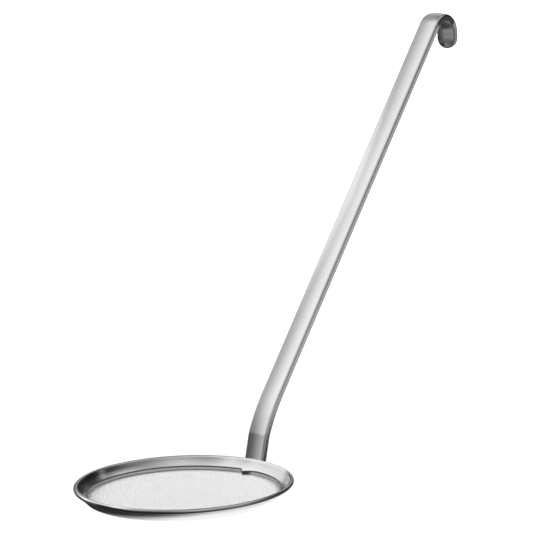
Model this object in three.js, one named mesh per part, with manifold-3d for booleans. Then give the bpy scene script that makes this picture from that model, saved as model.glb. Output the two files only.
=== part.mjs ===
// Mesh skimmer: a wired sheet-metal rim, a trapped wire-cloth floor and a channel handle with a hook.
// Millimetres, +Z up. The rim lies flat on the table and the handle leans away from it towards +X.
import * as THREE from 'three';
import { mergeVertices, mergeGeometries } from 'three/addons/utils/BufferGeometryUtils.js';
import Module from 'manifold-3d';

const { degToRad, lerp } = THREE.MathUtils;
const wasm = await Module();
wasm.setup();

// Rim: a strip with an inward lip, a dished wall that flares, and an edge curled outwards round a wire
const rimDiameter = 160; // over the curled edge
const rimSheet = 0.7;
const wireDiameter = 1.7;
const wireClearance = 0.2; // all round, inside the curl
const curlHeight = 8.6; // centre of the curl above the table
const curlSlit = 0.6; // between the curl's free edge and the wall
const wallLean = degToRad(33); // from upright, flaring outwards, halfway up
const wallDish = degToRad(30); // how much less the wall leans at its top than at its foot
const lipWidth = 3.2;
const heelInside = 0.5; // inside bend radius between lip and wall

// Wire cloth, drawn as a flat net with a solid selvedge
const clothThickness = 0.5;
const clothBar = 1.8;
const clothPitch = 8;
const clothSelvedge = 1.2;
const clothEdgeGap = 0.2; // to the heel of the rim
const leastGap = 2.5; // a gap that would reach less far past the selvedge is left out

// Retaining band: an open strip ring whose far end is turned in
const bandThickness = 1.1;
const bandHeight = 3;
const bandGap = 0.3; // to the rim's wall
const bandStart = degToRad(2.5); // from the handle, counter-clockwise
const tangStart = degToRad(-12); // where the turned-in end leaves the circle
const tangRadius = 12;
const tangLength = 14;

// Handle: one strap of channel section
const strapWidth = 15.2;
const strapDepth = 5.6; // front face to flange edge
const strapSheet = 1.2;
const strapBendInside = 0.6; // inside radius between face and flange
const strapCrownRadius = 48; // the front face is slightly rounded
const footGap = 0.3; // to the curled edge
const footLean = degToRad(16.4); // all leans are from upright, outwards
const footBelow = 4.5; // from the touch point with the curl
const footAbove = 19.7;
const ankleRadius = 14; // tight bend at the top of the foot
const ankleLean = degToRad(25.8);
const shinRadius = 126; // easy bend into the shaft
const shaftLean = degToRad(40);
const shaftLength = 336;
const hookRadius = 16; // outside face
const tongueLength = 4.5; // straight stretch before the rounded end

// Fillet welds between the foot's sides and the curled edge
const weldLeg = 2.2;
const weldHeight = 4.2;
const weldDrop = 1.2; // from the curl's centre down to the weld's
const weldGap = 0.3;

// Facets
const ringSegments = 64;
const curlChords = 9;
const heelChords = 3;
const wallChords = 4;
const strapBendChords = 4;
const strapFaceChords = 2;
const wireSides = 8;
const weldSides = 12;
const ankleSteps = 4;
const shinSteps = 4;
const hookSteps = 16;
const tongueSteps = 12;
const bandSteps = 30;
const cutMargin = 2; // how far a cutter stands past what it cuts

const downwards = -Math.PI / 2;

// Section of the curl and the wall, as radius and height
const curlBore = wireDiameter / 2 + wireClearance;
const curlRadius = curlBore + rimSheet;
const curlCentre = new THREE.Vector2(rimDiameter / 2 - curlRadius, curlHeight);
const curlSweep = 2 * Math.PI - Math.acos((curlBore - curlSlit) / curlRadius);
const heelOutside = heelInside + rimSheet;

// The wall is an arc that meets the curl at its top and the heel at its foot without a kink. Its radius
// follows from the height between the two centres.
const topLean = wallLean - wallDish / 2;
const wallFootLean = wallLean + wallDish / 2;
const wallClimb = curlHeight + curlRadius * Math.sin(topLean)
  - heelOutside + heelInside * Math.sin(wallFootLean);
const wallRadius = wallClimb / (Math.sin(wallFootLean) - Math.sin(topLean)); // inside face
const wallSide = Math.PI - topLean; // direction of the wall as seen from the curl's centre
const wallCentre = onCircle(curlCentre, curlRadius + wallRadius, wallSide);
const heelCentre = onCircle(wallCentre, wallRadius - heelInside, -wallFootLean);

// Radius of the wall's inside face at a height
function wallInside(height) {
  return wallCentre.x + Math.sqrt(wallRadius ** 2 - (wallCentre.y - height) ** 2);
}

const clothRadius = heelCentre.x - clothEdgeGap;
const clothTop = rimSheet + clothThickness;
const bandOutside = wallInside(clothTop) - bandGap;

function onCircle(centre, radius, angle) {
  return new THREE.Vector2(centre.x + radius * Math.cos(angle), centre.y + radius * Math.sin(angle));
}

// Corners of a round stretch of a profile, from one direction to another as seen from its centre
function arc(centre, radius, from, to, chords) {
  const corner = (_, step) => onCircle(centre, radius, lerp(from, to, step / chords));
  return Array.from({ length: chords + 1 }, corner);
}

// Finishes
const polishedSteel = new THREE.MeshStandardMaterial({ color: 0xc8c9c9, roughness: 0.22, metalness: 1 });
const brushedSteel = new THREE.MeshStandardMaterial({ color: 0xbfc0c0, roughness: 0.32, metalness: 1 });
const clothSteel = new THREE.MeshStandardMaterial({ color: 0xd4d4d2, roughness: 0.4, metalness: 1 });
const weldSteel = new THREE.MeshStandardMaterial({ color: 0x9d9b98, roughness: 0.5, metalness: 1 });

// Geometry with shared corners, as boolean cuts and closed solids need
function welded(geometry) {
  geometry.deleteAttribute('normal');
  geometry.deleteAttribute('uv');
  return mergeVertices(geometry);
}

function toSolid(geometry) {
  const shared = welded(geometry);
  return new wasm.Manifold(new wasm.Mesh({
    numProp: 3,
    vertProperties: new Float32Array(shared.attributes.position.array),
    triVerts: new Uint32Array(shared.index.array),
  }));
}

function toGeometry(solid) {
  const mesh = solid.getMesh();
  const geometry = new THREE.BufferGeometry();
  geometry.setAttribute('position', new THREE.BufferAttribute(mesh.vertProperties, mesh.numProp));
  geometry.setIndex(new THREE.BufferAttribute(mesh.triVerts, 1));
  geometry.computeVertexNormals();
  return geometry;
}

// A closed profile of radius and height, turned about the rim's upright axis
function turned(profile) {
  const geometry = new THREE.LatheGeometry(profile, ringSegments);
  return welded(geometry.rotateX(Math.PI / 2));
}

function piece(name, geometry, material) {
  const mesh = new THREE.Mesh(geometry, material);
  mesh.name = name;
  return mesh;
}

// Underside of the lip, outside of the wall, bore of the curl, then back over the curl and down inside
function outerHoop() {
  const curlEnd = wallSide - curlSweep;
  const lipEdge = heelCentre.x - lipWidth;
  const lipCorner = new THREE.Vector2(lipEdge, 0);
  const section = [
    lipCorner,
    ...arc(heelCentre, heelOutside, downwards, -wallFootLean, heelChords),
    ...arc(wallCentre, wallRadius + rimSheet, -wallFootLean, -topLean, wallChords).slice(1, -1),
    ...arc(curlCentre, curlBore, wallSide, curlEnd, curlChords),
    ...arc(curlCentre, curlRadius, curlEnd, wallSide, curlChords),
    ...arc(wallCentre, wallRadius, -topLean, -wallFootLean, wallChords).slice(1, -1),
    ...arc(heelCentre, heelInside, -wallFootLean, downwards, heelChords),
    new THREE.Vector2(lipEdge, rimSheet),
    lipCorner,
  ];
  return piece('outer_hoop', turned(section), polishedSteel);
}

function rimWire() {
  const ring = new THREE.TorusGeometry(curlCentre.x, wireDiameter / 2, wireSides, ringSegments);
  const mesh = piece('rim_wire', welded(ring), brushedSteel);
  mesh.position.z = curlHeight;
  return mesh;
}

// A disc pierced by a square grid of gaps that stop at the selvedge
function meshDisc() {
  const disc = drum(clothRadius, clothThickness);
  const bore = drum(clothRadius - clothSelvedge, clothThickness + cutMargin);
  const reach = clothRadius - clothSelvedge - leastGap;
  const count = Math.ceil(clothRadius / clothPitch);
  const opening = clothPitch - clothBar;
  const cells = [];
  for (let column = -count; column < count; column += 1) {
    for (let row = -count; row < count; row += 1) {
      const x = (column + 0.5) * clothPitch;
      const y = (row + 0.5) * clothPitch;
      const nearest = Math.hypot(Math.abs(x) - opening / 2, Math.abs(y) - opening / 2);
      if (nearest > reach) continue;
      const cell = new THREE.BoxGeometry(opening, opening, clothThickness + cutMargin);
      cells.push(cell.translate(x, y, 0));
    }
  }
  const gaps = toSolid(mergeGeometries(cells)).intersect(bore);
  const mesh = piece('mesh_disc', toGeometry(disc.subtract(gaps)), clothSteel);
  mesh.position.z = rimSheet + clothThickness / 2;
  return mesh;
}

function drum(radius, height) {
  const geometry = new THREE.CylinderGeometry(radius, radius, height, ringSegments);
  return toSolid(geometry.rotateX(Math.PI / 2));
}

// A strip on edge: round the rim's foot, then an arc of small radius that carries its end inwards
function innerBand() {
  const middle = bandOutside - bandThickness / 2;
  const tangCentre = onCircle(new THREE.Vector2(), middle - tangRadius, tangStart);
  const tangEnd = tangStart + tangLength / tangRadius;
  const ringEnd = tangStart + 2 * Math.PI;
  const half = bandThickness / 2;
  const plan = new THREE.Shape();
  plan.absarc(0, 0, middle + half, bandStart, ringEnd, false);
  plan.absarc(tangCentre.x, tangCentre.y, tangRadius + half, tangStart, tangEnd, false);
  plan.absarc(tangCentre.x, tangCentre.y, tangRadius - half, tangEnd, tangStart, true);
  plan.absarc(0, 0, middle - half, ringEnd, bandStart, true);
  plan.closePath();
  const strip = new THREE.ExtrudeGeometry(plan, {
    depth: bandHeight,
    curveSegments: bandSteps,
    bevelEnabled: false,
  });
  const mesh = piece('inner_band', welded(strip), brushedSteel);
  mesh.position.z = clothTop;
  return mesh;
}

// Directions along the strap and square to its front face, in the plane of the handle
function along(lean) {
  return new THREE.Vector3(Math.sin(lean), 0, Math.cos(lean));
}

function behind(lean) {
  return new THREE.Vector3(Math.cos(lean), 0, -Math.sin(lean));
}

// Places of the strap's front face with its lean, from the foot's end to the tongue
function strapStations() {
  const stations = [];
  const touch = new THREE.Vector3(curlCentre.x, 0, curlCentre.y);
  const point = touch.addScaledVector(behind(footLean), curlRadius + footGap);
  let lean = footLean;
  const mark = () => stations.push({ point: point.clone(), lean });
  const run = (length) => {
    point.addScaledVector(along(lean), length);
    mark();
  };
  const bend = (radius, endLean, steps) => {
    const centre = point.clone().addScaledVector(behind(lean), radius);
    const startLean = lean;
    for (let step = 1; step <= steps; step += 1) {
      lean = lerp(startLean, endLean, step / steps);
      point.copy(centre).addScaledVector(behind(lean), -radius);
      mark();
    }
  };
  point.addScaledVector(along(lean), -footBelow);
  mark();
  run(footBelow + footAbove);
  bend(ankleRadius, ankleLean, ankleSteps);
  bend(shinRadius, shaftLean, shinSteps);
  run(shaftLength);
  bend(hookRadius, Math.PI, hookSteps);
  run(tongueLength);
  return stations;
}

// Half of the channel section, from the middle of the front face round the flange to the middle inside.
// x runs across the strap and y backwards from the front face.
function halfSection() {
  const bendOutside = strapBendInside + strapSheet;
  const bendX = strapWidth / 2 - bendOutside;
  const bendReach = strapCrownRadius - bendOutside;
  const turn = Math.asin(bendX / bendReach);
  const bendY = strapCrownRadius - bendReach * Math.cos(turn);
  const faceEnd = downwards + turn;
  const crown = new THREE.Vector2(0, strapCrownRadius);
  const bend = new THREE.Vector2(bendX, bendY);
  const faceInside = strapCrownRadius - strapSheet;
  return [
    ...arc(crown, strapCrownRadius, downwards, faceEnd, strapFaceChords),
    ...arc(bend, bendOutside, faceEnd, 0, strapBendChords).slice(1),
    new THREE.Vector2(strapWidth / 2, strapDepth),
    new THREE.Vector2(strapWidth / 2 - strapSheet, strapDepth),
    ...arc(bend, strapBendInside, 0, faceEnd, strapBendChords),
    ...arc(crown, faceInside, faceEnd, downwards, strapFaceChords).slice(1),
  ];
}

// The section carried through the stations. At the tongue half of it turns half a circle about the
// middle of the strap, which closes the end with the same flange.
function handle(stations) {
  const half = halfSection();
  const last = half.length - 1;
  const mirrored = half.slice(1, last).reverse().map((p) => new THREE.Vector2(-p.x, p.y));
  const loop = [...half, ...mirrored];
  const across = new THREE.Vector3(0, -1, 0);
  const positions = [];
  const triangles = [];

  const put = (station, side, corner) => {
    const place = station.point.clone()
      .addScaledVector(side, corner.x)
      .addScaledVector(behind(station.lean), corner.y);
    positions.push(...place.toArray());
  };
  const quad = (a, b, c, d) => {
    if (b !== c) triangles.push(a, b, c);
    if (a !== d) triangles.push(a, c, d);
  };

  stations.forEach((station) => loop.forEach((corner) => put(station, across, corner)));
  for (let row = 0; row < stations.length - 1; row += 1) {
    const from = row * loop.length;
    const to = from + loop.length;
    for (let corner = 0; corner < loop.length; corner += 1) {
      const next = (corner + 1) % loop.length;
      quad(from + corner, from + next, to + next, to + corner);
    }
  }

  const end = stations[stations.length - 1];
  const endRow = (stations.length - 1) * loop.length;
  const turnedRow = positions.length / 3;
  for (let step = 1; step < tongueSteps; step += 1) {
    const angle = Math.PI * step / tongueSteps;
    const side = across.clone().multiplyScalar(Math.cos(angle));
    side.addScaledVector(along(end.lean), Math.sin(angle));
    half.slice(1, last).forEach((corner) => put(end, side, corner));
  }
  const endCorner = (step, corner) => {
    if (corner === 0 || corner === last || step === 0) return endRow + corner;
    if (step === tongueSteps) return endRow + loop.length - corner;
    return turnedRow + (step - 1) * (last - 1) + corner - 1;
  };
  for (let step = 0; step < tongueSteps; step += 1) {
    for (let corner = 0; corner < last; corner += 1) {
      quad(
        endCorner(step, corner),
        endCorner(step, corner + 1),
        endCorner(step + 1, corner + 1),
        endCorner(step + 1, corner)
      );
    }
  }
  THREE.ShapeUtils.triangulateShape(loop, []).forEach(([a, b, c]) => triangles.push(a, c, b));

  const geometry = new THREE.BufferGeometry();
  geometry.setAttribute('position', new THREE.Float32BufferAttribute(positions, 3));
  geometry.setIndex(triangles);
  geometry.computeVertexNormals();
  return piece('handle', geometry, polishedSteel);
}

// A lump in the corner between one side of the foot and the curled edge
function footWeld(name, side) {
  const flank = strapWidth / 2;
  const touch = Math.sqrt((rimDiameter / 2) ** 2 - flank ** 2);
  const lump = new THREE.SphereGeometry(weldLeg, weldSides, weldSides);
  lump.scale(1, 1, weldHeight / 2 / weldLeg);
  lump.translate(touch, side * flank, curlHeight - weldDrop);
  const curl = new THREE.TorusGeometry(curlCentre.x, curlRadius + weldGap, weldSides, ringSegments);
  curl.translate(0, 0, curlHeight);
  const foot = new THREE.BoxGeometry(rimDiameter, strapWidth + 2 * weldGap, rimDiameter);
  foot.translate(rimDiameter / 2, 0, 0);
  const solid = toSolid(lump).subtract(toSolid(curl)).subtract(toSolid(foot));
  return piece(name, toGeometry(solid), weldSteel);
}

// The origin lies under the middle of the whole tool, on the table
const strap = strapStations();
const hookReach = strap[strap.length - 1].point.x;
const skimmer = new THREE.Group();
skimmer.position.x = (rimDiameter / 2 - hookReach) / 2;
skimmer.add(
  outerHoop(),
  rimWire(),
  meshDisc(),
  innerBand(),
  handle(strap),
  footWeld('foot_weld_left', 1),
  footWeld('foot_weld_right', -1)
);

export default skimmer;
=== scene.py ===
import bmesh
import bpy
import numpy as np
from mathutils import Matrix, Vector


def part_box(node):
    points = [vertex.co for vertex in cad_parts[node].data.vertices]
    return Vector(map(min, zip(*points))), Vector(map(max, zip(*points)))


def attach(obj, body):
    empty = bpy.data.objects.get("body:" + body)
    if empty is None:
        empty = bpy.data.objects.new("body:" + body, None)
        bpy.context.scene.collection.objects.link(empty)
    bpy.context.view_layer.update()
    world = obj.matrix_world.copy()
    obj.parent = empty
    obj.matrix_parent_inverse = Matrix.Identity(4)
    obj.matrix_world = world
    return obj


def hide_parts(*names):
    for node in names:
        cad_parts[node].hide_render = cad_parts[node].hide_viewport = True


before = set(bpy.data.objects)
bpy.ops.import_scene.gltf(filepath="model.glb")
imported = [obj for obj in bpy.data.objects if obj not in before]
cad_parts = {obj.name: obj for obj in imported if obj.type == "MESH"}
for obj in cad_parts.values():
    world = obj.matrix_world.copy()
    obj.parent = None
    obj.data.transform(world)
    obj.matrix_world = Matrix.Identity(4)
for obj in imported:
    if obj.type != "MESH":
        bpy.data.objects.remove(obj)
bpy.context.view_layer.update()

mm = 0.001  # sizes below are in millimetres, meshes in metres
sameSpot = 0.0005  # points closer than this are merged
sharpEdge = np.radians(50)  # edges that turn more than this stay sharp where a piece asks for it
scene = bpy.context.scene

# What the frame gives: the rim's middle and reach, and the levels of the cloth, the band and the strap
hoopLow, hoopHigh = (np.array(corner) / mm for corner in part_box("outer_hoop"))
clothLow, clothHigh = (np.array(corner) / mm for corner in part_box("mesh_disc"))
bandLow, bandHigh = (np.array(corner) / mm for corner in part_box("inner_band"))
strapLow, strapHigh = (np.array(corner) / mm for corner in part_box("handle"))
rimMiddle = (hoopLow[0] + hoopHigh[0]) / 2
rimRadius = (hoopHigh[0] - hoopLow[0]) / 2
print("frame loaded, rim centre at x", round(rimMiddle, 3), "mm")


# Paths and meshes

# A flat path of runs and bends, as points with their headings. A run goes straight on along the heading;
# a bend follows a circle of the given radius through a turn, to the left when the turn is positive.
def bentPath(start, heading, moves):
    points = np.array([start], float)
    headings = np.array([heading], float)
    for size, turn, steps in moves:
        share = np.linspace(0, 1, steps + 1)[1:]
        before = headings[-1]
        after = before + turn * share
        if turn:
            way = np.stack([np.sin(after) - np.sin(before), np.cos(before) - np.cos(after)], 1)
            way = np.sign(turn) * size * way
        else:
            way = size * np.outer(share, [np.cos(before), np.sin(before)])
        points = np.vstack([points, points[-1] + way])
        headings = np.append(headings, after)
    return points, headings


# Both faces of a sheet of even thickness whose middle follows a path: each point moves half a thickness
# square to the heading, and quarter circles round the two edges bring the faces together at the tips.
def sheetFaces(points, headings, thickness, edgeSteps):
    quarter = np.linspace(0, np.pi / 2, edgeSteps + 1)[:-1]
    middles = np.concatenate([
        np.repeat(points[:1], edgeSteps, 0),
        points,
        np.repeat(points[-1:], edgeSteps, 0),
    ])

    def face(sign):
        angles = np.concatenate([
            headings[0] + np.pi - sign * quarter,
            headings + sign * np.pi / 2,
            headings[-1] + sign * quarter[::-1],
        ])
        return middles + thickness / 2 * np.stack([np.cos(angles), np.sin(angles)], 1)

    return face(1), face(-1)


# The closed outline of a sheet: one face forwards and the other back, with the shared tips counted once
def sheetOutline(left, right):
    return np.concatenate([right, left[-2:0:-1]])


# Distance along a row of points from its start; a closed row also gets the step back to its start
def lengthAlong(points, closed=False):
    if closed:
        points = np.concatenate([points, points[:1]])
    steps = np.linalg.norm(np.diff(points, axis=0), axis=1)
    return np.concatenate([[0], np.cumsum(steps)])


# A patch is a grid of points with a distance in mm for each row and each column, which become its UV map
def patch(points, along, around, closedRows=False, closedColumns=False):
    rows, columns = points.shape[:2]
    r = np.arange(rows if closedRows else rows - 1)[:, None]
    c = np.arange(columns if closedColumns else columns - 1)[None, :]
    corners = [(r, c), (r + 1, c), (r + 1, c + 1), (r, c + 1)]
    faces = [(i % rows) * columns + j % columns for i, j in corners]
    uvs = [np.stack(np.broadcast_arrays(along[i], around[j]), -1) for i, j in corners]
    return dict(
        points=points.reshape(-1, 3),
        faces=np.stack(np.broadcast_arrays(*faces), -1).reshape(-1, 4),
        uvs=np.stack(uvs, 2).reshape(-1, 4, 2),
    )


# Closes the end of a tube: every point of its last ring runs to the ring's middle
def endPatch(ring, outwards=True):
    middle = np.broadcast_to(ring.mean(0), ring.shape)
    rows = [ring, middle] if outwards else [middle, ring]
    return patch(np.stack(rows), np.array([0, 1]), lengthAlong(ring, True), False, True)


# Joins patches into one closed mesh: doubles are merged, and if its signed volume is negative every face
# is turned round, so that all of them point outwards
def makePiece(name, patches, material, nodes, sharpAngle=None):
    offsets = np.cumsum([0] + [len(p["points"]) for p in patches])
    points = np.concatenate([p["points"] for p in patches]) * mm
    faces = np.concatenate([p["faces"] + start for p, start in zip(patches, offsets)])
    uvs = np.concatenate([p["uvs"] for p in patches])
    a, b, c, d = (points[faces[:, k]] for k in range(4))
    volume = np.einsum("ij,ij->", a, np.cross(b, c) + np.cross(c, d))
    if volume < 0:
        faces, uvs = faces[:, ::-1], uvs[:, ::-1]
    mesh = bpy.data.meshes.new(name)
    mesh.vertices.add(len(points))
    mesh.vertices.foreach_set("co", points.astype(np.float32).ravel())
    mesh.loops.add(faces.size)
    mesh.loops.foreach_set("vertex_index", faces.astype(np.int32).ravel())
    mesh.polygons.add(len(faces))
    mesh.polygons.foreach_set("loop_start", np.arange(0, faces.size, 4, dtype=np.int32))
    mesh.update(calc_edges=True)
    layer = mesh.uv_layers.new(name="strip")
    layer.data.foreach_set("uv", uvs.astype(np.float32).ravel())
    work = bmesh.new()
    work.from_mesh(mesh)
    bmesh.ops.remove_doubles(work, verts=work.verts, dist=sameSpot * mm)
    work.to_mesh(mesh)
    work.free()
    mesh.shade_smooth()
    if sharpAngle:
        mesh.set_sharp_from_angle(angle=sharpAngle)
    mesh.materials.append(material)
    piece = bpy.data.objects.new(name, mesh)
    scene.collection.objects.link(piece)
    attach(piece, "root")
    if nodes:
        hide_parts(*nodes)
    print("made", name, "with", len(mesh.polygons), "faces")


# A closed outline of radius and height turned round the rim's upright axis. Its UV map counts both ways
# from an angle of the turn, and onwards from a point of the outline.
def turnedPatch(outline, segments, start=0, first=0):
    angles = np.arange(segments) * 2 * np.pi / segments
    radius, height = outline[:, 0], outline[:, 1]
    points = np.stack([
        rimMiddle + np.outer(np.cos(angles), radius),
        np.outer(np.sin(angles), radius),
        np.broadcast_to(height, (segments, len(height))),
    ], -1)
    turn = np.arange(segments + 1) * 2 * np.pi / segments - start
    along = np.abs((turn + np.pi) % (2 * np.pi) - np.pi) * radius.max()
    girth = lengthAlong(outline, True)
    return patch(points, along, girth - girth[first], True, True)


# Materials

# sRGB hex to linear: the standard curve, with its straight foot
def linear(hexColour):
    values = np.array([int(hexColour[k:k + 2], 16) for k in (1, 3, 5)]) / 255
    low = values / 12.92
    high = ((values + 0.055) / 1.055) ** 2.4
    return (*np.where(values <= 0.04045, low, high), 1.0)


# Adds one node: inputs are values or other nodes' outputs, settings are the node's own properties
def addNode(tree, kind, inputs=(), **settings):
    node = tree.nodes.new(kind)
    for name, value in settings.items():
        setattr(node, name, value)
    for name, value in dict(inputs).items():
        if isinstance(value, bpy.types.NodeSocket):
            tree.links.new(value, node.inputs[name])
        else:
            node.inputs[name].default_value = value
    return node


# Stainless steel that was worked along its length: even grey metal whose fine lines spread highlights
# across them, with cloudy differences of tone and a slow waviness left by the bending. A painted patch of
# light or shade changes the colour, and the roughness if it is matt. Each of its limits names a UV axis,
# the distance where the patch is full and the one where it is gone; the limits multiply.
def workedSteel(name, look):
    material = bpy.data.materials.new(name)
    material.use_nodes = True
    tree = material.node_tree
    tree.nodes.clear()
    coords = addNode(tree, "ShaderNodeTexCoord")
    stretched = addNode(tree, "ShaderNodeMapping", {
        "Vector": coords.outputs["UV"],
        "Scale": (1 / look["lineLength"], 1 / look["lineWidth"], 1),
    })
    lines = addNode(tree, "ShaderNodeTexNoise", {
        "Vector": stretched.outputs["Vector"], "Scale": 1.0, "Detail": 3.0, "Roughness": 0.6,
    })
    clouds = addNode(tree, "ShaderNodeTexNoise", {
        "Vector": coords.outputs["Object"], "Scale": 1 / (look["cloudSize"] * mm), "Detail": 2.0,
    })
    waves = addNode(tree, "ShaderNodeTexNoise", {
        "Vector": coords.outputs["Object"], "Scale": 1 / (look["waveSize"] * mm), "Detail": 1.0,
    })
    # sockets 6 and 7 are a colour mix's two colours and output 2 its colour; 2, 3 and 0 are a value mix's
    tone = addNode(tree, "ShaderNodeMix", {
        0: clouds.outputs["Fac"], 6: linear(look["dark"]), 7: linear(look["light"]),
    }, data_type="RGBA")
    # nearly all of the noise lies between 0.3 and 0.7
    gloss = addNode(tree, "ShaderNodeMapRange", {
        "Value": lines.outputs["Fac"], "From Min": 0.3, "From Max": 0.7,
        "To Min": look["smooth"], "To Max": look["rough"],
    })
    colour = tone.outputs[2]
    roughness = gloss.outputs["Result"]
    parts = addNode(tree, "ShaderNodeSeparateXYZ", {"Vector": coords.outputs["UV"]})
    # painted light and shade: each patch mixes its colour in over its masked area
    for stain in look.get("stains", []):
        share = 1.0
        for axis, full, gone in stain["limits"]:
            fade = addNode(tree, "ShaderNodeMapRange", {
                "Value": parts.outputs[axis], "From Min": full, "From Max": gone,
                "To Min": 1.0, "To Max": 0.0,
            }, interpolation_type="SMOOTHSTEP")
            share = addNode(tree, "ShaderNodeMath", {
                0: fade.outputs["Result"], 1: share,
            }, operation="MULTIPLY").outputs["Value"]
        colour = addNode(tree, "ShaderNodeMix", {
            0: share, 6: colour, 7: linear(stain["colour"]),
        }, data_type="RGBA").outputs[2]
        if "matt" in stain:
            roughness = addNode(tree, "ShaderNodeMix", {
                0: share, 2: roughness, 3: stain["matt"],
            }).outputs[0]
    waviness = addNode(tree, "ShaderNodeBump", {
        "Height": waves.outputs["Fac"], "Distance": look["waveDepth"] * mm,
    })
    scratches = addNode(tree, "ShaderNodeBump", {
        "Height": lines.outputs["Fac"], "Distance": look["lineDepth"] * mm,
        "Normal": waviness.outputs["Normal"],
    })
    shader = addNode(tree, "ShaderNodeBsdfPrincipled", {
        "Base Color": colour, "Metallic": 1.0, "Roughness": roughness,
        "Normal": scratches.outputs["Normal"],
    })
    addNode(tree, "ShaderNodeOutputMaterial", {"Surface": shader.outputs["BSDF"]})
    return material


# Rim: rolled strip polished round the ring. X counts both ways from a place by the handle's foot. Y counts
# from the curl's tip: above 0 over the curl and down the inside of the wall, below 0 through the curl and
# down the outside of the wall.
hoopSteel = workedSteel("polished_stainless_strip", dict(
    dark="#b0b1b2", light="#bdbdbc", smooth=0.14, rough=0.22,
    lineLength=14, lineWidth=0.25, lineDepth=0.002,
    cloudSize=30, waveSize=22, waveDepth=0.06,
    stains=[
        # painted light: paler low on the outside of the wall
        dict(limits=[("Y", -12.0, -8.6)], colour="#d4d5d4"),
        # painted highlight by the foot: near-white, and matt
        dict(limits=[("X", 18, 38)], colour="#fcfcfb", matt=0.65),
        # painted shade on the outside of the curl at the front left: darker there
        dict(
            limits=[("X", 190, 150), ("X", 236, 246), ("Y", 5.2, 6.3), ("Y", -0.5, -1.5)],
            colour="#6e6e6d",
        ),
        # painted light: paler low on the inside of the wall and on top of the curl, opposite the foot
        dict(limits=[("X", 150, 100), ("Y", 13.2, 11.4)], colour="#f4f4f3"),
        dict(limits=[("X", 226, 204), ("Y", 5.8, 5.0), ("Y", 8.6, 9.6)], colour="#fafaf9"),
    ],
))
# Wire in the rim: drawn metal left as it comes from the die, so duller
wireSteel = workedSteel("drawn_stainless_wire", dict(
    dark="#a9aaab", light="#b8b8b7", smooth=0.3, rough=0.42,
    lineLength=10, lineWidth=0.2, lineDepth=0.004,
    cloudSize=16, waveSize=12, waveDepth=0.03,
))
# Band: rolled strip, with painted shade along its top edge and at its turned-in last end
bandSteel = workedSteel("rolled_stainless_strip", dict(
    dark="#b0b1b2", light="#bdbdbc", smooth=0.22, rough=0.32,
    lineLength=10, lineWidth=0.2, lineDepth=0.004,
    cloudSize=16, waveSize=12, waveDepth=0.03,
    stains=[
        # painted shade: darker along the top edge
        dict(limits=[("Y", 1.0, 1.8)], colour="#5c5c5b"),
        # painted shade: dark over the last few millimetres of the turned-in end
        dict(limits=[("X", 4, 9)], colour="#434140"),
    ],
))
# Cloth: bright drawn wire
clothSteel = workedSteel("woven_stainless_wire", dict(
    dark="#f2f2f2", light="#fafafa", smooth=0.5, rough=0.6,
    lineLength=3, lineWidth=0.1, lineDepth=0.002,
    cloudSize=24, waveSize=18, waveDepth=0.0,
))
# Handle: pressed strap, brushed along its length. X counts from the hook's top, and Y from the nearer
# cut edge.
handleSteel = workedSteel("brushed_stainless_strap", dict(
    dark="#b0b1b2", light="#bdbdbc", smooth=0.17, rough=0.27,
    lineLength=30, lineWidth=0.3, lineDepth=0.003,
    cloudSize=40, waveSize=35, waveDepth=0.05,
    stains=[
        # painted light on the flanges, which are paler, and painted shade on the tongue and along the cut
        # edges, which are darker
        dict(limits=[("Y", 4.2, 5.4)], colour="#cacac9"),
        dict(limits=[("X", 24, 16)], colour="#a2a2a1"),
        dict(limits=[("Y", 0.6, 0.95)], colour="#7e7d7c"),
        # painted shade on the flanges at the top of the hook, inside the bend
        dict(limits=[("X", 13, 19), ("X", -13, -19), ("Y", 3.6, 5.0)], colour="#4c4b4a"),
    ],
))
# Welds: run metal that was wire-brushed, so dull and warmer
weldSteel = workedSteel("wire_brushed_weld", dict(
    dark="#8f8b86", light="#aba7a1", smooth=0.4, rough=0.6,
    lineLength=0.8, lineWidth=0.5, lineDepth=0.03,
    cloudSize=2, waveSize=1.5, waveDepth=0.05,
))
print("materials ready")


# Rim. Clean is the angle, by the handle's foot, from which the UV map counts.
rim = dict(
    sheet=0.7, curlInside=1.05, curlHeight=8.6, slit=0.6,
    lean=np.radians(33), dish=np.radians(30), lip=3.2, heelInside=0.5, clean=np.radians(-18),
    lipSteps=3, heelSteps=8, wallSteps=12, curlSteps=40, edgeSteps=3, segments=400,
    wire=1.7, wireSides=16, wireSegments=200,
)
curlOutside = rim["curlInside"] + rim["sheet"]
curlCentre = np.array([rimRadius - curlOutside, rim["curlHeight"]])


# The middle of the rim's sheet: out along the lip, round the heel, up the dished wall, round the curl.
# The wall is an arc that gets steeper towards the top; its radius follows from the height it climbs.
def hoopPath():
    half = rim["sheet"] / 2
    heelRadius = rim["heelInside"] + half
    curlRadius = rim["curlInside"] + half
    footLean = rim["lean"] + rim["dish"] / 2
    topLean = rim["lean"] - rim["dish"] / 2
    top = curlCentre + curlRadius * np.array([-np.cos(topLean), np.sin(topLean)])
    footHeight = half + heelRadius * (1 - np.sin(footLean))
    wallRadius = (top[1] - footHeight) / (np.sin(footLean) - np.sin(topLean))
    wallReach = wallRadius * (np.cos(topLean) - np.cos(footLean))
    heelMiddle = top[0] - wallReach - heelRadius * np.cos(footLean)
    sweep = 2 * np.pi - np.arccos((rim["curlInside"] - rim["slit"]) / curlOutside)
    flat = rim["lip"] - half
    return bentPath((heelMiddle - flat, half), 0, [
        (flat, 0, rim["lipSteps"]),
        (heelRadius, np.pi / 2 - footLean, rim["heelSteps"]),
        (wallRadius, rim["dish"], rim["wallSteps"]),
        (curlRadius, -sweep, rim["curlSteps"]),
    ])


hoopFaces = sheetFaces(*hoopPath(), rim["sheet"], rim["edgeSteps"])
curlTip = len(hoopFaces[0]) - 1
hoopPatch = turnedPatch(sheetOutline(*hoopFaces), rim["segments"], rim["clean"], curlTip)
makePiece("rim_hoop", [hoopPatch], hoopSteel, ["outer_hoop"])

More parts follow.
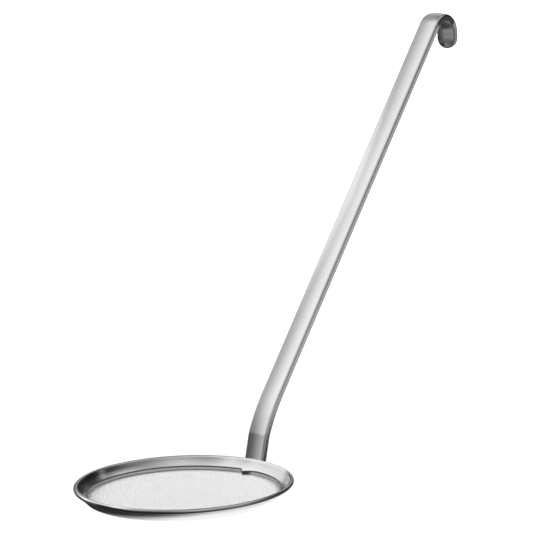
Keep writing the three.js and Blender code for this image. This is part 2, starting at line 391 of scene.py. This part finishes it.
# The wire in the curl: a circle turned round the rim
wireAngles = np.arange(rim["wireSides"]) * 2 * np.pi / rim["wireSides"]
wireOutline = curlCentre + rim["wire"] / 2 * np.stack([np.cos(wireAngles), np.sin(wireAngles)], 1)
wirePatch = turnedPatch(wireOutline, rim["wireSegments"])
makePiece("rim_core_wire", [wirePatch], wireSteel, ["rim_wire"])


# Retaining band
band = dict(
    thickness=1.1, corner=0.2,
    start=np.radians(2.5), tangStart=np.radians(-12), tangRadius=12, tangLength=14,
    ringSteps=300, tangSteps=30, widthSteps=2, cornerSteps=4, heightSteps=3,
)


# A strip on edge carried along a plan path: round the rim's foot, then in along a tighter circle.
# Its section is a rectangle with small round corners. Its UV map counts from the turned-in end and
# from the middle of the top.
def bandPatches():
    middle = bandHigh[1] + (rimRadius - hoopHigh[1]) - band["thickness"] / 2
    start = middle * np.array([np.cos(band["start"]), np.sin(band["start"])])
    plan, headings = bentPath(start, band["start"] + np.pi / 2, [
        (middle, 2 * np.pi + band["tangStart"] - band["start"], band["ringSteps"]),
        (band["tangRadius"], band["tangLength"] / band["tangRadius"], band["tangSteps"]),
    ])
    corner = band["corner"]
    width = band["thickness"] - 2 * corner
    height = bandHigh[2] - bandLow[2] - 2 * corner
    bend = (corner, np.pi / 2, band["cornerSteps"])
    section, _ = bentPath((-width / 2, bandLow[2]), 0, [
        (width, 0, band["widthSteps"]), bend, (height, 0, band["heightSteps"]), bend,
    ] * 2)
    section = section[:-1]
    outwards = np.stack([np.sin(headings), -np.cos(headings)], 1)
    flat = plan[:, None] + section[None, :, :1] * outwards[:, None]
    level = np.broadcast_to(section[None, :, 1:], (*flat.shape[:2], 1))
    points = np.concatenate([flat, level], -1) + [rimMiddle, 0, 0]
    along = lengthAlong(plan)
    girth = lengthAlong(section, True)
    fromTop = np.abs(girth - girth[(len(section) + band["widthSteps"]) // 2])
    tube = patch(points, along[-1] - along, fromTop, False, True)
    return [tube, endPatch(points[0], False), endPatch(points[-1])]


makePiece("retaining_band", bandPatches(), bandSteel, ["inner_band"], sharpEdge)


# Wire cloth
cloth = dict(
    pitch=1.3, wire=0.32, crimp=0.14, held=0.09, heldWidth=4, edge=0.15,
    wireSides=4, spare=3,
)
clothRadius = (clothHigh[0] - clothLow[0]) / 2 - cloth["edge"]
clothLevel = (clothHigh[2] + clothLow[2]) / 2


# One set of the woven wires, as one grid of wire, place along it and side. A wire lies at each pitch and
# rises and falls by the crimp from crossing to crossing; the other set does the opposite. Places past the
# disc's edge are drawn back to it: the first past it keeps its ring and the next ones shrink to a point,
# which closes the wire. The crimp is pressed flatter near the edge, where the band holds the cloth.
def wovenWires(direction):
    pitch = cloth["pitch"]
    count = int(clothRadius // pitch)
    across = np.arange(-count, count + 1) * pitch
    places = np.arange(-count - cloth["spare"], count + cloth["spare"] + 1)
    reach = np.sqrt(clothRadius ** 2 - across ** 2)[:, None]
    free = places[None, :] * pitch
    past = np.ceil(np.maximum(np.abs(free) - reach, 0) / pitch)
    along = np.clip(free, -reach, reach)
    away = np.hypot(along, across[:, None])
    hold = np.clip((clothRadius - away) / cloth["heldWidth"], 0, 1)
    crimp = cloth["held"] + (cloth["crimp"] - cloth["held"]) * hold
    over = np.where((places[None, :] + np.arange(len(across))[:, None]) % 2, 1, -1)
    rise = direction * crimp * over * (past == 0)
    sides = cloth["wireSides"]
    turn = (np.arange(sides) + 0.5) * 2 * np.pi / sides
    ring = np.where(past <= 1, cloth["wire"] / 2, 0)[..., None]
    long = np.broadcast_to(along[..., None], (*along.shape, sides))
    side = across[:, None, None] + ring * np.cos(turn)
    height = clothLevel + rise[..., None] + ring * np.sin(turn)
    flat = [long, side] if direction > 0 else [side, long]
    points = np.stack([flat[0] + rimMiddle, flat[1], height], -1)
    wires = []
    for k in range(len(across)):
        shown = np.flatnonzero(past[k] <= 2)
        around = np.arange(sides + 1) * cloth["wire"]
        wires.append(patch(points[k, shown], along[k, shown], around, False, True))
    return wires


makePiece("cloth_warp", wovenWires(1), clothSteel, ["mesh_disc"])
makePiece("cloth_weft", wovenWires(-1), clothSteel, [])


# Handle. Extra width is how much wider the strap is in the photograph than in the frame.
strap = dict(
    sheet=1.2, depth=5.8, bendInside=0.6, extraWidth=1.9, crown=48, footGap=0.3,
    footLean=np.radians(16.4), footBelow=4.5, footAbove=19.7,
    ankle=14, ankleLean=np.radians(25.8), shin=126, shaftLean=np.radians(40),
    shaft=335.8, hook=17, tongue=3.8,
    footSteps=8, ankleSteps=8, shinSteps=16, shaftSteps=48, hookSteps=64, tongueSteps=4, endSteps=36,
    flangeSteps=4, bendSteps=8, frontSteps=20, edgeSteps=4,
)
strapWidth = strapHigh[1] - strapLow[1] + strap["extraWidth"]


# The middle of the strap's front face, in the plane of the handle: foot, tight ankle, easy shin, shaft,
# hook and tongue. Headings are from level, so a lean from upright is a quarter turn less it.
def strapPath():
    lean = strap["footLean"]
    along = np.array([np.sin(lean), np.cos(lean)])
    behind = np.array([np.cos(lean), -np.sin(lean)])
    start = curlCentre + behind * (curlOutside + strap["footGap"]) - along * strap["footBelow"]
    return bentPath(start, np.pi / 2 - lean, [
        (strap["footBelow"] + strap["footAbove"], 0, strap["footSteps"]),
        (strap["ankle"], lean - strap["ankleLean"], strap["ankleSteps"]),
        (strap["shin"], strap["ankleLean"] - strap["shaftLean"], strap["shinSteps"]),
        (strap["shaft"], 0, strap["shaftSteps"]),
        (strap["hook"], strap["shaftLean"] - np.pi, strap["hookSteps"]),
        (strap["tongue"], 0, strap["tongueSteps"]),
    ])


# Faces of the channel section: up one flange, round the corner, over the slightly round front and down
# the other flange. Across is x, and y is how far a point lies behind the middle of the front.
def strapSection():
    half = strap["sheet"] / 2
    bendOutside = strap["bendInside"] + strap["sheet"]
    bendReach = strap["crown"] - bendOutside
    turn = np.arcsin((strapWidth / 2 - bendOutside) / bendReach)
    bendDepth = strap["crown"] - bendReach * np.cos(turn)
    flange = strap["depth"] - half - bendDepth
    edge = (flange, 0, strap["flangeSteps"])
    bend = (strap["bendInside"] + half, np.pi / 2 - turn, strap["bendSteps"])
    front = (strap["crown"] - half, 2 * turn, strap["frontSteps"])
    start = (-strapWidth / 2 + half, strap["depth"] - half)
    points, headings = bentPath(start, -np.pi / 2, [edge, bend, front, bend, edge])
    return sheetFaces(points, headings, strap["sheet"], strap["edgeSteps"])


# The section carried along the path. At the tongue's end the half of it from the middle outwards turns
# half a circle about the middle, which rounds the tongue off with the same flange, and the foot's end is
# closed by a strip between the two faces. The UV map counts from the hook's top along the strap and from
# the nearer cut edge across it.
def handlePatches():
    path, headings = strapPath()
    inner, outer = strapSection()
    outline = sheetOutline(inner, outer)
    level = np.zeros(len(path))
    front = np.stack([path[:, 0] + rimMiddle, level, path[:, 1]], 1)
    behind = np.stack([np.sin(headings), level, -np.cos(headings)], 1)

    # A section's point goes its first value across the strap and its second behind the front
    def placed(section, row, across):
        return front[row] + section[..., :1] * across + section[..., 1:] * behind[row]

    left = np.array([0, -1, 0])
    rows = np.arange(len(path))[:, None]
    girth = lengthAlong(outline, True)
    cut = girth[len(outer) - 1]
    away = np.minimum.reduce([girth, np.abs(girth - cut), girth[-1] - girth])
    fromTop = lengthAlong(path)
    fromTop = fromTop - fromTop[np.argmin(np.abs(headings))]
    body = patch(placed(outline[None], rows, left), fromTop, away, False, True)

    half = len(outer) // 2
    profile = np.concatenate([outer[half:], inner[-2:half - 1:-1]])
    angles = np.linspace(0, np.pi, strap["endSteps"] + 1)[:, None, None]
    onwards = np.array([np.cos(headings[-1]), 0, np.sin(headings[-1])])
    across = np.cos(angles) * left + np.sin(angles) * onwards
    turned = placed(profile[None], -1, across)
    along = fromTop[-1] + angles.ravel() * strapWidth / 2
    girth = lengthAlong(profile)
    end = patch(turned, along, np.abs(girth - girth[len(outer) - 1 - half]))

    foot = placed(np.stack([inner, outer]), 0, left)
    cap = patch(foot, np.zeros(2), np.zeros(len(outer)))
    return [body, end, cap]


makePiece("strap_handle", handlePatches(), handleSteel, ["handle"], sharpEdge)


# Welds
weld = dict(leg=2.2, height=4.2, drop=1.2, ripple=0.05, ripples=5, rows=32, sides=24)


# A lump on the corner between a side of the foot and the curl: an ellipsoid whose reach swells and
# shrinks a little from bottom to top, as the run metal does at each step of the torch
def weldPatches(side):
    up = np.linspace(-np.pi / 2, np.pi / 2, weld["rows"] + 1)[:, None]
    turn = np.arange(weld["sides"])[None, :] * 2 * np.pi / weld["sides"]
    flank = strapWidth / 2
    reach = weld["leg"] * np.cos(up) * (1 + weld["ripple"] * np.cos(2 * weld["ripples"] * up))
    level = rim["curlHeight"] - weld["drop"] + weld["height"] / 2 * np.sin(up)
    points = np.stack([
        rimMiddle + np.sqrt(rimRadius ** 2 - flank ** 2) + reach * np.cos(turn),
        side * flank + reach * np.sin(turn),
        np.broadcast_to(level, reach.shape[:1] + turn.shape[1:]),
    ], -1)
    along = np.linspace(0, weld["height"], weld["rows"] + 1)
    around = np.linspace(0, 2 * np.pi * weld["leg"], weld["sides"] + 1)
    return [patch(points, along, around, False, True)]


makePiece("weld_left", weldPatches(1), weldSteel, ["foot_weld_left"])
makePiece("weld_right", weldPatches(-1), weldSteel, ["foot_weld_right"])


# Camera: the photograph's, found from the rim's ellipse and the handle's edges. Aim is from the rim's
# centre, and scale is pixels for a millimetre at the aim.
viewpoint = dict(
    azimuth=np.radians(-51.54), elevation=np.radians(10.41), roll=np.radians(-1.85),
    distance=2200, scale=1.3587, aim=np.array([87.13, -13.95, 155.82]), image=533, sensor=36,
)


# Right, up and back axes of a camera that stands at an azimuth and elevation and is rolled about its axis
def cameraAxes():
    azimuth, elevation, roll = (viewpoint[k] for k in ("azimuth", "elevation", "roll"))
    back = np.array([
        np.sin(azimuth) * np.cos(elevation), -np.cos(azimuth) * np.cos(elevation), np.sin(elevation),
    ])
    level = np.array([np.cos(azimuth), np.sin(azimuth), 0])
    upright = np.cross(back, level)
    right = level * np.cos(roll) + upright * np.sin(roll)
    up = upright * np.cos(roll) - level * np.sin(roll)
    return right, up, back


# The focal length is the sensor's width times scale times distance, over the image's width in pixels
def photoCamera():
    right, up, back = cameraAxes()
    place = (viewpoint["aim"] + [rimMiddle, 0, 0] + viewpoint["distance"] * back) * mm
    data = bpy.data.cameras.new("photo_camera")
    data.sensor_width = viewpoint["sensor"]
    data.lens = viewpoint["sensor"] * viewpoint["scale"] * viewpoint["distance"] / viewpoint["image"]
    camera = bpy.data.objects.new("photo_camera", data)
    axes = np.stack([right, up, back], 1)
    camera.matrix_world = Matrix.Translation(place) @ Matrix(axes).to_4x4()
    scene.collection.objects.link(camera)
    scene.camera = camera


photoCamera()
print("camera ready")

# Stage: a table that is plain white to the camera, as on a photograph cut out to white. What the steel
# mirrors is a pale table with painted shade and painted light: a darker tone round the tool for its
# shadow, and a glowing patch under the rim for light there. Asides are how far the middles of the dim and
# the lit patch lie to the right of the rim's, as the camera sees it.
stage = dict(
    floor=12000, drop=0.2, white=1.0,
    dimTone="#5a5a5a", paleTone="#eaeaea", dimEnd=270, paleStart=450, dimAside=-120,
    glow=1.3, litEnd=73, litGone=82, litAside=10.5, rough=0.9,
)


# A square in which zones of tone and of glow lie round their spots; the camera sees an even glow instead
def paleFloor():
    half = stage["floor"] / 2 * mm
    corners = [(-half, -half, 0), (half, -half, 0), (half, half, 0), (-half, half, 0)]
    mesh = bpy.data.meshes.new("floor")
    mesh.from_pydata(corners, [], [(0, 1, 2, 3)])
    material = bpy.data.materials.new("white_table")
    material.use_nodes = True
    tree = material.node_tree
    tree.nodes.clear()
    coords = addNode(tree, "ShaderNodeTexCoord")

    # One value near a spot and another far from it, with a smooth step in between
    def zone(spot, near, far, inside, outside):
        away = addNode(tree, "ShaderNodeVectorMath", {
            0: coords.outputs["Object"], 1: spot * mm,
        }, operation="DISTANCE")
        return addNode(tree, "ShaderNodeMapRange", {
            "Value": away.outputs["Value"], "From Min": near * mm, "From Max": far * mm,
            "To Min": inside, "To Max": outside,
        }, interpolation_type="SMOOTHSTEP").outputs["Result"]

    middle = np.array([rimMiddle, 0, 0])
    aside = cameraAxes()[0] * [1, 1, 0]
    # painted shadow round the tool and painted light under the rim, both seen only in reflections
    pale = zone(middle + stage["dimAside"] * aside, stage["dimEnd"], stage["paleStart"], 0.0, 1.0)
    lit = zone(middle + stage["litAside"] * aside, stage["litEnd"], stage["litGone"], stage["glow"], 0.0)
    tone = addNode(tree, "ShaderNodeMix", {
        0: pale, 6: linear(stage["dimTone"]), 7: linear(stage["paleTone"]),
    }, data_type="RGBA")
    seen = addNode(tree, "ShaderNodeLightPath").outputs["Is Camera Ray"]
    glow = addNode(tree, "ShaderNodeMix", {0: seen, 2: lit, 3: stage["white"]})
    shader = addNode(tree, "ShaderNodeBsdfPrincipled", {
        "Base Color": tone.outputs[2], "Roughness": stage["rough"],
        "Emission Color": linear("#ffffff"), "Emission Strength": glow.outputs[0],
    })
    addNode(tree, "ShaderNodeOutputMaterial", {"Surface": shader.outputs["BSDF"]})
    mesh.materials.append(material)
    floor = bpy.data.objects.new("floor", mesh)
    floor.location.z = -stage["drop"] * mm
    scene.collection.objects.link(floor)


paleFloor()
print("floor ready")

# Light: a dark studio with soft panels far off and one soft box near the upper handle. Aside is how far a
# panel stands to the right of the camera, seen from the rim; angles are in degrees.
studio = dict(gloom=0.01, panels=[
    dict(aside=-80, height=54, spread=17, strength=1.65),
    dict(aside=-58, height=23, spread=12, strength=1.1),
    dict(aside=-128, height=18, spread=12, strength=1.5),
    dict(aside=-148, height=48, spread=14, strength=0.45),
    dict(aside=5, height=50, spread=26, strength=1.15),
    dict(aside=100, height=56, spread=13, strength=1.1),
    dict(aside=60, height=4, spread=11, strength=0.6),
    dict(aside=175, height=30, spread=14, strength=0.8),
])
softBox = dict(
    aside=-116, height=37, distance=450, size=160, radiance=1.0,
    lights=np.array([235, 0, 200]),  # from the rim's centre
)


# Where a direction points, from how far it lies to the right of the camera and above the table
def studioWay(aside, height):
    aside, height = np.radians([aside, height])
    back = cameraAxes()[2]
    towards = np.array([*back[:2], 0]) / np.linalg.norm(back[:2])
    sideways = np.array([-towards[1], towards[0], 0])
    level = np.cos(aside) * towards + np.sin(aside) * sideways
    return np.cos(height) * level + [0, 0, np.sin(height)]


# A panel's glow falls off from its middle as strength times exp((cosine of the angle - 1) / spread²)
def studioPanels():
    world = bpy.data.worlds.new("studio")
    world.use_nodes = True
    tree = world.node_tree
    tree.nodes.clear()
    ray = addNode(tree, "ShaderNodeTexCoord").outputs["Generated"]
    total = studio["gloom"]
    for panel in studio["panels"]:
        middle = studioWay(panel["aside"], panel["height"])
        sharp = 1 / np.radians(panel["spread"]) ** 2
        cosine = addNode(tree, "ShaderNodeVectorMath", {0: ray, 1: middle}, operation="DOT_PRODUCT")
        fall = addNode(tree, "ShaderNodeMath", {
            0: cosine.outputs["Value"], 1: sharp, 2: -sharp,
        }, operation="MULTIPLY_ADD")
        glow = addNode(tree, "ShaderNodeMath", {0: fall.outputs["Value"]}, operation="EXPONENT")
        total = addNode(tree, "ShaderNodeMath", {
            0: glow.outputs["Value"], 1: panel["strength"], 2: total,
        }, operation="MULTIPLY_ADD").outputs["Value"]
    background = addNode(tree, "ShaderNodeBackground", {"Color": linear("#ffffff"), "Strength": total})
    addNode(tree, "ShaderNodeOutputWorld", {"Surface": background.outputs["Background"]})
    scene.world = world
    scene.view_settings.view_transform = "Standard"


# A square lamp turned to the spot that it lights; its power is pi times its radiance times its area
def nearBox():
    out = studioWay(softBox["aside"], softBox["height"])
    across = np.cross([0, 0, 1], out)
    across = across / np.linalg.norm(across)
    place = (softBox["lights"] + [rimMiddle, 0, 0] + softBox["distance"] * out) * mm
    data = bpy.data.lights.new("soft_box", "AREA")
    data.size = softBox["size"] * mm
    data.energy = np.pi * softBox["radiance"] * data.size ** 2
    lamp = bpy.data.objects.new("soft_box", data)
    axes = np.stack([across, np.cross(out, across), out], 1)
    lamp.matrix_world = Matrix.Translation(place) @ Matrix(axes).to_4x4()
    scene.collection.objects.link(lamp)


studioPanels()
nearBox()
print("lights ready")
